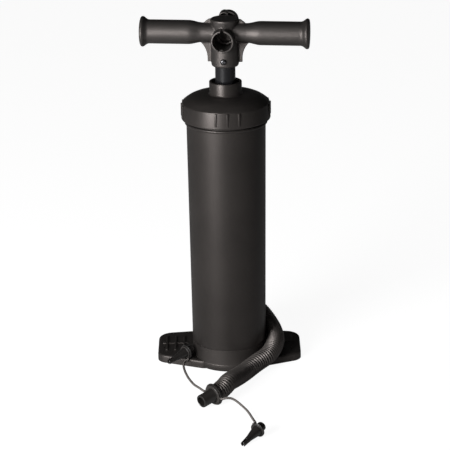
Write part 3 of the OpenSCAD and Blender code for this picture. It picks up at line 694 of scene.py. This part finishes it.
# %% Tether ring
ring = spun("tether_ring_moulded", [
    (9.2, 0.5), (9.5, 0.2), (13.2, 0.2), (13.6, 0.6), (13.6, 2.0), (13.1, 2.5), (11.6, 2.75), (10.2, 2.5),
    (9.6, 2.3), (9.2, 1.9),
], 72)
ears = soften(block("ears", (-1.6, -16.2, 0.3), (1.6, 16.2, 2.5)), 0.5)
combine(ears, [cylinder("ear_hole", 9.3, -1, 4)], "DIFFERENCE")
combine(ring, [ears])
moved(ring, aimed(NOZZLE_PLACE, *NOZZLE_AIM))
smooth(ring, 35)
finish_piece(ring, "pump_body", ring_rubber, "tether_rubber", "tether_ring")


# %% [markdown]
# The adapters taper down for small valves. Their tips are slotted, so that they can spring into a valve.
# Both are alike, and so are the rubber loops that hold them on their tethers.

# %% Adapters and their loops
def adapter(name, place, aim, node):
    """Slotted adapter with its flange at a place and its tip along a heading."""
    body = spun(name, [
        (1.7, 33.3), (2.9, 33.6), (3.3, 33.3), (3.7, 25), (4.1, 19), (4.7, 15.4), (6.6, 3.9), (6.75, 3.2),
        (6.8, 1.3), (9.2, 1), (9.8, 0.6), (9.8, -0.6), (9.2, -1), (6.2, -1), (6, -1.3),
        (6, -9.3), (5.5, -10), (4.8, -10), (4.4, -9.6), (4.4, -2), (1.5, -2),
    ], 64)
    combine(body, [block("slot", (-4, -1.05, 25), (4, 1.05, 36))], "DIFFERENCE")
    moved(body, aimed(place, *aim))
    smooth(body, 30)
    return finish_piece(body, "pump_body", fitting_black, "nozzle_plastic", node)


def loop(name, place, aim, low, inner, turn, node):
    """Rubber loop on an adapter, with an ear at an angle for its tether."""
    outer, reach = inner + 1.6, 9.2
    band = spun(name, [
        (inner, low + 0.4), (inner + 0.4, low), (outer - 0.5, low), (outer, low + 0.6), (outer, low + 1.6),
        (outer - 0.5, low + 2.2), (inner + 0.4, low + 2.2), (inner, low + 1.8),
    ], 56)
    ear = soften(block("ear", (inner + 0.5, -1.4, low), (reach, 1.4, low + 2.2)), 0.5)
    moved(ear, Matrix.Rotation(math.radians(turn), 4, "Z"))
    combine(band, [ear])
    moved(band, aimed(place, *aim))
    smooth(band, 35)
    return finish_piece(band, "pump_body", ring_rubber, "tether_rubber", node)


LEFT_PLACE, LEFT_AIM = (-58.6, -26.6, 21.2), (223.1, 9.6)
FRONT_PLACE, FRONT_AIM = (34, -249.3, 10.1), (234.5, 11.4)
adapter_left = adapter("adapter_left_turned", LEFT_PLACE, LEFT_AIM, "adapter_left")
adapter_front = adapter("adapter_front_turned", FRONT_PLACE, FRONT_AIM, "adapter_front")
loop_left = loop("loop_left_moulded", LEFT_PLACE, LEFT_AIM, 1.2, 7.0, 30, "tether_loop_left")
loop_front = loop("loop_front_moulded", FRONT_PLACE, FRONT_AIM, -3.6, 6.1, -125, "tether_loop_right")

# %% [markdown]
# The hose ends in its nozzle, and each tether in an adapter's loop.

# %% [markdown]
# ## Handle
# The handle is one moulding: two grips, the hub, a split ring on its front, thin webs and an open clip
# behind. Its pieces are turned or cut, joined by booleans and then remeshed and smoothed, which leaves
# the small fillets that a mould has.

# %% Grips
def grip_outline():
    """Both grips, from one end flange over the thinner neck in the middle to the other."""
    neck, full, end = 12.75, 15.75, 110.5
    neck_end, swell = 28.5, 19
    flange = [(17.6, 0), (18.7, 0.35), (19.5, 1), (19.95, 2), (20, 3), (19.7, 4), (18.9, 5.2), (17.7, 6.6),
              (16.7, 8), (16, 9.5), (full, 11)]
    points = [(0, end)] + [(r, end - back) for r, back in flange]
    for k in range(13):
        t = 1 - k / 12
        points.append((neck + (full - neck) * t * t * (3 - 2 * t), neck_end + swell * t))
    return points + [(r, -x) for r, x in reversed(points)]


grips = spun("handle_moulded", grip_outline(), 72, closed=False)
moved(grips, Matrix.Translation(mm(0, 0, GRIP_Z)) @ Matrix.Rotation(math.radians(90), 4, "Y"))
print("grips, end to end:", round(grips.dimensions.x / MM, 1), "mm")

# %% [markdown]
# The hub is waisted between its socket for the rod and its disc on top. In front of the waist stands the
# tube of the split ring.

# %% Hub and ring's tube
def from_front(piece, x, y, z):
    """Turns a piece made along +Z so that it runs from the front to the back, at a place."""
    return moved(piece, Matrix.Translation(mm(x, y, z)) @ Matrix.Rotation(math.radians(-90), 4, "X"))


ROD_BORE, ROD_STOP = 13.36, 441.1
hub = spun("hub", [
    (0, ROD_STOP), (ROD_BORE, ROD_STOP), (ROD_BORE, HUB_BOTTOM), (16.2, HUB_BOTTOM), (17.3, 417.6),
    (18, 419.3), (18, 448.6), (17.8, 450.2), (17.1, 451.8), (15.5, 454.6), (14.7, 456.2), (14.5, 458),
    (14.6, 461), (18.4, 477), (18.5, 478.4), (18.4, 479.4), (17.9, HUB_TOP), (0, HUB_TOP),
], 72, closed=False)
ring_body = from_front(cylinder("ring_body", RING_R - 0.2, 0, 25, 72), 0, RING_FRONT + 3, RING_Z)
print("hub is", round(hub.dimensions.x / MM, 1), "mm across")

# %% [markdown]
# Thin webs stiffen the corners between hub and grips. The lower ones are cut away in a curve.

# %% Webs
WEB_THICKNESS = 3
WEB_CURVE_X, WEB_CURVE_Z, WEB_CURVE_R = 53, 427, 30


def cut_plate(name, outline, thickness):
    """Plate in the XZ plane from (x, z) corners in millimetres, centred on the plane."""
    piece = drawn(name, [(x, -thickness / 2, z) for x, z in outline])
    bpy.ops.mesh.select_all(action="SELECT")
    bpy.ops.mesh.edge_face_add()
    bpy.ops.mesh.extrude_region_move(TRANSFORM_OT_translate={"value": mm(0, thickness, 0)})
    leave_outwards()
    return piece


arc = []
for a in range(0, 61, 6):
    across, up = WEB_CURVE_R * math.cos(math.radians(a)), WEB_CURVE_R * math.sin(math.radians(a))
    arc.append((WEB_CURVE_X - across, WEB_CURVE_Z + up))
lower_web = [(15, 422), (23, 422)] + arc + [(38, GRIP_Z), (15, GRIP_Z)]
upper_web = [
    (11, 478.2), (19.9, 479.4), (21.5, 478.9), (25.5, 475.8), (29, 471.5), (29.5, GRIP_Z), (11, GRIP_Z),
]
webs = []
for side in (-1, 1):
    for corners in (lower_web, upper_web):
        webs.append(cut_plate("web", [(side * x, z) for x, z in corners], WEB_THICKNESS))
print("webs:", len(webs))

# %% [markdown]
# The clip behind the hub is a shallow cup on a short arm. Its wall is open on one side, where a tether or
# the spare adapter is pushed in, and beside that gap its edge is rolled into a small tube.

# %% Rear clip
CLIP_PLACE, CLIP_INNER, CLIP_OUTER = (1.2, 27, 469.6), 10.6, 13.2
CLIP_DEPTH, CLIP_FLOOR, GAP_TURN = 11, 9, -150
ROLL_PLACE, ROLL_R, ROLL_BORE = (-4, 24, 475.9), 6.9, 4.4

clip = spun("clip", [
    (CLIP_INNER, 0), (CLIP_OUTER, 0), (CLIP_OUTER, CLIP_DEPTH), (0.01, CLIP_DEPTH), (0.01, CLIP_FLOOR),
    (CLIP_INNER, CLIP_FLOOR),
], 72)
from_front(clip, *CLIP_PLACE)
gap = moved(block("gap", (0, -6.5, -1), (27, 6.5, 8.4)), Matrix.Rotation(math.radians(GAP_TURN), 4, "Z"))
combine(clip, [from_front(gap, *CLIP_PLACE)], "DIFFERENCE")
clip_arm = block("clip_arm", (-5, 11.2, 457.4), (5, 38, 462.4))
clip_hollow = from_front(cylinder("clip_hollow", CLIP_INNER, -1, CLIP_FLOOR, 72), *CLIP_PLACE)
combine(clip_arm, [clip_hollow], "DIFFERENCE")
roll = from_front(cylinder("rolled_lip", ROLL_R, 0, 14, 56), *ROLL_PLACE)
roll_bore = from_front(cylinder("roll_bore", ROLL_BORE, -1, 12, 56), *ROLL_PLACE)

# %% [markdown]
# The parts are joined first and cut afterwards, so that each bore and notch goes through all of them. The
# ring's socket has a step near its floor.

# %% Join the handle, and cut it
NOTCH_X, NOTCH_TURN, NOTCH_HALF = -1.5, 5, 2.4
handle = combine(grips, [hub, ring_body] + webs + [clip, clip_arm, roll])
socket = from_front(cylinder("socket", SOCKET_R, 0, 37, 72), 0, RING_FRONT - 1, RING_Z)
socket_floor = from_front(cylinder("socket_floor", 9.6, 0, 41, 72), 0, RING_FRONT - 1, RING_Z)
screw_hole = from_front(cylinder("screw_hole", 2.1, 0, 12, 32), 0, -19, SCREW_Z)


def notch():
    """Cutter for the slots in the ring's top and bottom."""
    cut = block("notch", (-NOTCH_HALF, RING_FRONT - 1, -17), (NOTCH_HALF, RING_FRONT + 10, 17))
    turn = Matrix.Rotation(math.radians(NOTCH_TURN), 4, "Y")
    return moved(cut, Matrix.Translation(mm(NOTCH_X, 0, RING_Z)) @ turn)


combine(handle, [roll_bore, socket, socket_floor, notch(), screw_hole], "DIFFERENCE")
apply_modifier(handle, "REMESH", mode="VOXEL", voxel_size=0.75 * MM)
apply_modifier(handle, "SMOOTH", factor=0.5, iterations=2)
moved(handle, Matrix.Rotation(HANDLE_TURN, 4, "Z"))
smooth(handle, 60)
finish_piece(handle, "plunger", handle_grain, "handle_moulding", "handle")

# %% [markdown]
# The ring's edge is crisp and catches the light, so it is turned by itself and set over the front of the
# socket.

# %% Front ring
split_ring = spun("handle_front_ring", [
    (SOCKET_R, 0.5), (12.9, 0.05), (13.5, 0), (14.3, 0.15), (14.8, 0.6), (RING_R, 1.3), (RING_R, 9),
    (SOCKET_R, 9),
], 96)
from_front(split_ring, 0, RING_FRONT, RING_Z)
combine(split_ring, [notch()], "DIFFERENCE")
moved(split_ring, Matrix.Rotation(HANDLE_TURN, 4, "Z"))
smooth(split_ring, 40)
finish_piece(split_ring, "plunger", handle_grain, "handle_moulding")

# %% [markdown]
# The handle's screw is a pan head with a cross recess, pressed in by a punch. It crosses the hub and the
# rod.

# %% Handle screw
SCREW_SEAT, RECESS_TURN = -18.2, 20
screw = spun("handle_screw_headed", [
    (0, -9.3), (1.6, -9.3), (2, -8.8), (2, 0), (3.8, 0), (4, 0.3), (3.95, 1.1), (3.5, 1.9), (2.6, 2.45),
    (1.4, 2.68), (0, 2.7),
], 48, closed=False)
for turn in (RECESS_TURN, RECESS_TURN + 90):
    bar = block("recess", (-2.3, -0.5, 1.3), (2.3, 0.5, 3.5))
    combine(screw, [moved(bar, Matrix.Rotation(math.radians(turn), 4, "Z"))], "DIFFERENCE")
lying = Matrix.Translation(mm(0, SCREW_SEAT, SCREW_Z)) @ Matrix.Rotation(math.radians(90), 4, "X")
moved(screw, Matrix.Rotation(HANDLE_TURN, 4, "Z") @ lying)
smooth(screw, 35)
finish_piece(screw, "plunger", screw_dark, "dark_steel", "handle_screw")

# %% [markdown]
# ## Cap
# The cap is one round moulding, with three small ribs in each quarter that a hand can grip. Inside the
# skirt are the four lugs of the bayonet, and in the middle the collar that holds the rod's bush.

# %% Cap
RIB_STEP, RIB_SHIFT, LUG_SPAN = 15.2, 1.7, 24
cap = spun("cap_moulded", [
    (55, 346), (57.6, 346), (58.5, 346.4), (59, 347.4), (57.8, 367.2), (57.65, 368), (57.2, 368.6),
    (56.2, 369.4), (54, 371.2), (50, 373.9), (45, 376.2), (38, 378), (30, 379), (22.9, 379.2), (22.3, 379.8),
    (21.7, 380.8), (21.5, 382), (21.5, 395.3), (21.3, 395.8), (20.9, COLLAR_TOP), (18.8, COLLAR_TOP),
    (18.4, 395.6), (18.3, BUSH_Z), (14.5, BUSH_Z), (14.5, 377), (17, 377), (17, 368), (55, 368),
], 144)
grips_and_lugs = []
for quarter in (0, 90, 180, 270):
    for a in (-RIB_STEP, 0, RIB_STEP):
        rib = soften(block("cap_rib", (-1.5, -59.55, 350), (1.5, -56, 367.4)), 0.7, 3)
        grips_and_lugs.append(moved(rib, Matrix.Rotation(math.radians(quarter + a + RIB_SHIFT), 4, "Z")))
for quarter in (0, 90, 180, 270):
    lug = spun("cap_lug", [(52.1, 347.7), (55.5, 347.7), (55.5, 351.7), (52.1, 351.7)], 12, angle=LUG_SPAN)
    grips_and_lugs.append(moved(lug, Matrix.Rotation(math.radians(quarter - LUG_SPAN / 2), 4, "Z")))
combine(cap, grips_and_lugs)
smooth(cap, 28)
finish_piece(cap, "cap_assembly", charcoal_cap, "charcoal_moulding", "cap")

# %% [markdown]
# Under the cap the barrel has a rounded bead, which shows as a thin line of light below the skirt.

# %% Bead under the cap
bead = spun("barrel_bead", [
    (53.2, 339.4), (54.1, 339.7), (54.7, 340.4), (54.9, 341.4), (54.7, 342.4), (54.1, 343.1), (53.2, 343.4),
], 144)
smooth(bead, 60)
finish_piece(bead, "pump_body", charcoal_cap, "charcoal_moulding")

# %% [markdown]
# ## Base
# The base is one moulding: a cup under the barrel and two hollow foot plates with a rounded top edge,
# ribbed below. The plates' outline is the tight band round eight corner cylinders, which is what a convex
# hull gives.

# %% Foot plates
FOOT_CORNERS = [(78.5, 46, 20), (40.5, 51, 20), (82.5, -1, 16), (35, -26.5, 10)]


def plate_block(name, height, inset, rounding):
    """Both foot plates as one slab, inset by a wall, with its top edge rounded."""
    cylinders = []
    for side in (-1, 1):
        for x, y, r in FOOT_CORNERS:
            post = cylinder("corner", r - inset, 0, height, 48)
            cylinders.append(moved(post, Matrix.Translation(mm(side * x, y, 0))))
    deselect()
    for post in cylinders:
        post.select_set(True)
    bpy.context.view_layer.objects.active = cylinders[0]
    bpy.ops.object.join()
    piece = bpy.context.object
    piece.name = name
    edit_all(piece)
    bpy.ops.mesh.convex_hull()
    bpy.ops.mesh.select_all(action="SELECT")
    bpy.ops.mesh.dissolve_limited(angle_limit=math.radians(0.5))
    bpy.ops.mesh.select_all(action="DESELECT")
    mesh = bmesh.from_edit_mesh(piece.data)
    top = height * MM - 1e-6
    for e in mesh.edges:
        e.select = all(v.co.z > top for v in e.verts)
    bmesh.update_edit_mesh(piece.data)
    bpy.ops.mesh.bevel(offset=rounding * MM, segments=5, affect="EDGES")
    bpy.ops.object.mode_set(mode="OBJECT")
    return piece


PLATE_MIDDLE, TREAD_STEPS, TREAD_HALF = 74.5, (-12, 0, 12), 1.3
plates = plate_block("base_moulded", FOOT_H, 0, 3.0)
treads = []
for side in (-1, 1):
    middle = side * PLATE_MIDDLE
    for x in TREAD_STEPS:
        treads.append(block("tread", (middle + x - TREAD_HALF, 1, 9.5), (middle + x + TREAD_HALF, 48, 12.4)))
    treads.append(block("tread", (middle - 18, 24, 9.5), (middle + 18, 26.6, 12.1)))
combine(plates, [soften(tread, 0.35) for tread in treads])

# %% [markdown]
# The plates are open below, as moulded parts are, with a wall of even thickness and a grid of ribs that
# carries a foot's weight.

# %% Hollow and ribs below
hollow = plate_block("plates_hollow", FOOT_H - FOOT_WALL + 1, FOOT_WALL, 1.5)
combine(plates, [moved(hollow, Matrix.Translation(mm(0, 0, -1)))], "DIFFERENCE")
ribs_below = []
for side in (-1, 1):
    for x in TREAD_STEPS:
        middle = side * PLATE_MIDDLE + x
        ribs_below.append(block("rib_below", (middle - 1, -14, 1), (middle + 1, 56, 9.5)))
    middle = side * 71.25
    ribs_below.append(block("rib_below", (middle - 25, 24, 1.1), (middle + 25, 26, 9.5)))
combine(plates, ribs_below)

# %% [markdown]
# The cup stands between the plates, and its wall ends in a spigot inside the barrel. The outlet's boss
# stands behind the cup, with a channel that leads to it.

# %% Cup and outlet boss
cup = spun("cup", [
    (0, 0), (48.4, 0), (49.9, 0.9), (50.4, 1.9), (50.4, 8.9), (50.3, 9.3), (50, 9.7),
    (50, BARREL_FOOT - 0.4), (49.6, BARREL_FOOT), (46.9, BARREL_FOOT),
    (46.9, SPIGOT_TOP - 1), (45.9, SPIGOT_TOP), (0, SPIGOT_TOP),
], 144, closed=False)
boss = soften(cylinder("outlet_boss", 13, 0, 28, 64), 0.8)
moved(boss, Matrix.Translation(mm(OUTLET_X, OUTLET_Y, 0)))
channel = soften(block("channel", (OUTLET_X - 10, 25, 0), (OUTLET_X + 10, OUTLET_Y, 20)), 0.8)
combine(plates, [cup, boss, channel])

# %% [markdown]
# Air comes in through small holes low in the cup's wall and leaves through the channel and the boss. A
# divider keeps the two ways apart, so it is taken out of the cutter before the cup is cut.

# %% Cut the air's ways
divider = block("divider", (-50, -14.05, 0), (50, -11.55, 30))
cup_hollow = spun("cup_hollow", [(0, 3), (41, 3), (41, 30), (44, 30), (44, 45), (0, 45)], 96, closed=False)
combine(cup_hollow, [divider], "DIFFERENCE")
outlet_bore = moved(cylinder("outlet_bore", 9.6, 5, 40, 48), Matrix.Translation(mm(OUTLET_X, OUTLET_Y, 0)))
channel_bore = block("channel_bore", (OUTLET_X - 7, 25, 5), (OUTLET_X + 7, OUTLET_Y, 17))
ways = [cup_hollow, outlet_bore, channel_bore]
VENT_ANGLES, VENT_R, VENT_Z = (204, 213, 327, 336), 2.4, 5.6
outwards = Matrix.Translation(mm(0, 0, VENT_Z)) @ Matrix.Rotation(math.radians(90), 4, "Y")
for a in VENT_ANGLES:
    vent = cylinder("vent", VENT_R, 38, 55, 24)
    ways.append(moved(vent, Matrix.Rotation(math.radians(a), 4, "Z") @ outwards))
for side in (-1, 1):
    ways.append(block("rear_notch", (side * 61 - 9, 52, -1), (side * 61 + 9, 82, 3)))
combine(plates, ways, "DIFFERENCE")
smooth(plates, 30)
finish_piece(plates, "pump_body", charcoal_base, "charcoal_moulding", "base")

# %% [markdown]
# ## Finishes for the CAD nodes that stay
# A plain CAD part such as the barrel already has its right shape, so it only gets its finish.

# %% Finish the CAD nodes
kept = {
    charcoal_barrel: ["barrel"],
    rod_polish: ["piston_rod"],
    fitting_black: ["rod_bush", "outlet_elbow", "hose_cuff"],
    screw_zinc: ["valve_plate_screws", "piston_screws"],
    inner_plastic: ["valve_plate", "intake_cage", "transfer_tube", "seal_retainer", "piston"],
    seal_rubber: [
        "intake_disc", "outlet_flap", "transfer_flap", "transfer_tube_seal", "base_seal", "cap_gasket",
        "rod_seal", "piston_seal", "inner_seal",
    ],
}
for material, names in kept.items():
    for name in names:
        nodes[name].data.materials.clear()
        nodes[name].data.materials.append(material)
print("CAD nodes kept:", sum(len(names) for names in kept.values()))

# %% [markdown]
# ## Floor and light
# The floor is white for the camera and keeps a soft shadow. Glossy rays see only a small share of that
# white, because a full one would veil the dark mouldings with grey.

# %% Floor
GLOSS_SHARE = 0.08
MATT_GREY, WHITE_GLOW, GLOW_SHARE = 0.5, 1.87, 0.5


def floor_material():
    f = Finish("floor")
    matt = f.node("ShaderNodeBsdfDiffuse", {}, {"Color": rgb(MATT_GREY, MATT_GREY, MATT_GREY)})
    white = f.node("ShaderNodeEmission", {}, {"Color": rgb(1, 1, 1), "Strength": WHITE_GLOW})
    share = f.seen(GLOSS_SHARE) * GLOW_SHARE
    return f.shown(f.node("ShaderNodeMixShader", {}, {0: share, 1: matt, 2: white}))


deselect()
bpy.ops.mesh.primitive_plane_add(size=20)
floor = bpy.context.object
floor.name = "floor"
floor.data.materials.append(floor_material())

# %% [markdown]
# The room is dark above, so that the pump's level faces stay dark, and white up to a low height. The
# camera sees white in every direction. The key is a soft box in front and to the left, almost level with
# the pump, because the photograph's highlights are upright, and a weaker one from above opens the shadows
# on the hose.

# %% World and lamps
world = Nodes(bpy.data.worlds.new("studio"), "Generated")
bpy.context.scene.world = world.owner
WHITE_BELOW, DARK_ABOVE, ROOM_LIGHT = 0.06, 0.18, 0.02
upwards = world.node("ShaderNodeSeparateXYZ", {}, {0: world.place}, 2)
backdrop = world.node("ShaderNodeMapRange", {}, {0: upwards, 1: WHITE_BELOW, 2: DARK_ABOVE, 3: 1.0, 4: 0.0})
camera_ray = world.node("ShaderNodeLightPath", {}, {}, "Is Camera Ray")
strength = camera_ray + (1 - camera_ray) * (world.seen(GLOSS_SHARE) * backdrop + ROOM_LIGHT)
world.shown(world.node("ShaderNodeBackground", {}, {1: strength}), "ShaderNodeOutputWorld")


def soft_box(name, azimuth, elevation, distance, width, height, power):
    """Area lamp aimed at the pump's middle. Azimuth 0 is in front, and negative is to the left."""
    target = Vector((0, 0, 0.24))
    a, e = math.radians(azimuth), math.radians(elevation)
    back = Vector((math.sin(a) * math.cos(e), -math.cos(a) * math.cos(e), math.sin(e)))
    lamp = bpy.data.lights.new(name, "AREA")
    lamp.shape = "RECTANGLE"
    lamp.size, lamp.size_y, lamp.energy = width, height, power
    holder = bpy.data.objects.new(name, lamp)
    bpy.context.scene.collection.objects.link(holder)
    turn = (-back).to_track_quat("-Z", "Y").to_matrix().to_4x4()
    holder.matrix_world = Matrix.Translation(target + back * distance) @ turn
    return holder


soft_box("key", -37, 10, 2.0, 0.9, 0.9, 50)
soft_box("fill", -20, 52, 2.4, 1.2, 1.2, 5)
bpy.context.scene.view_settings.view_transform = "Standard"
print("lamps:", len(bpy.data.lights))
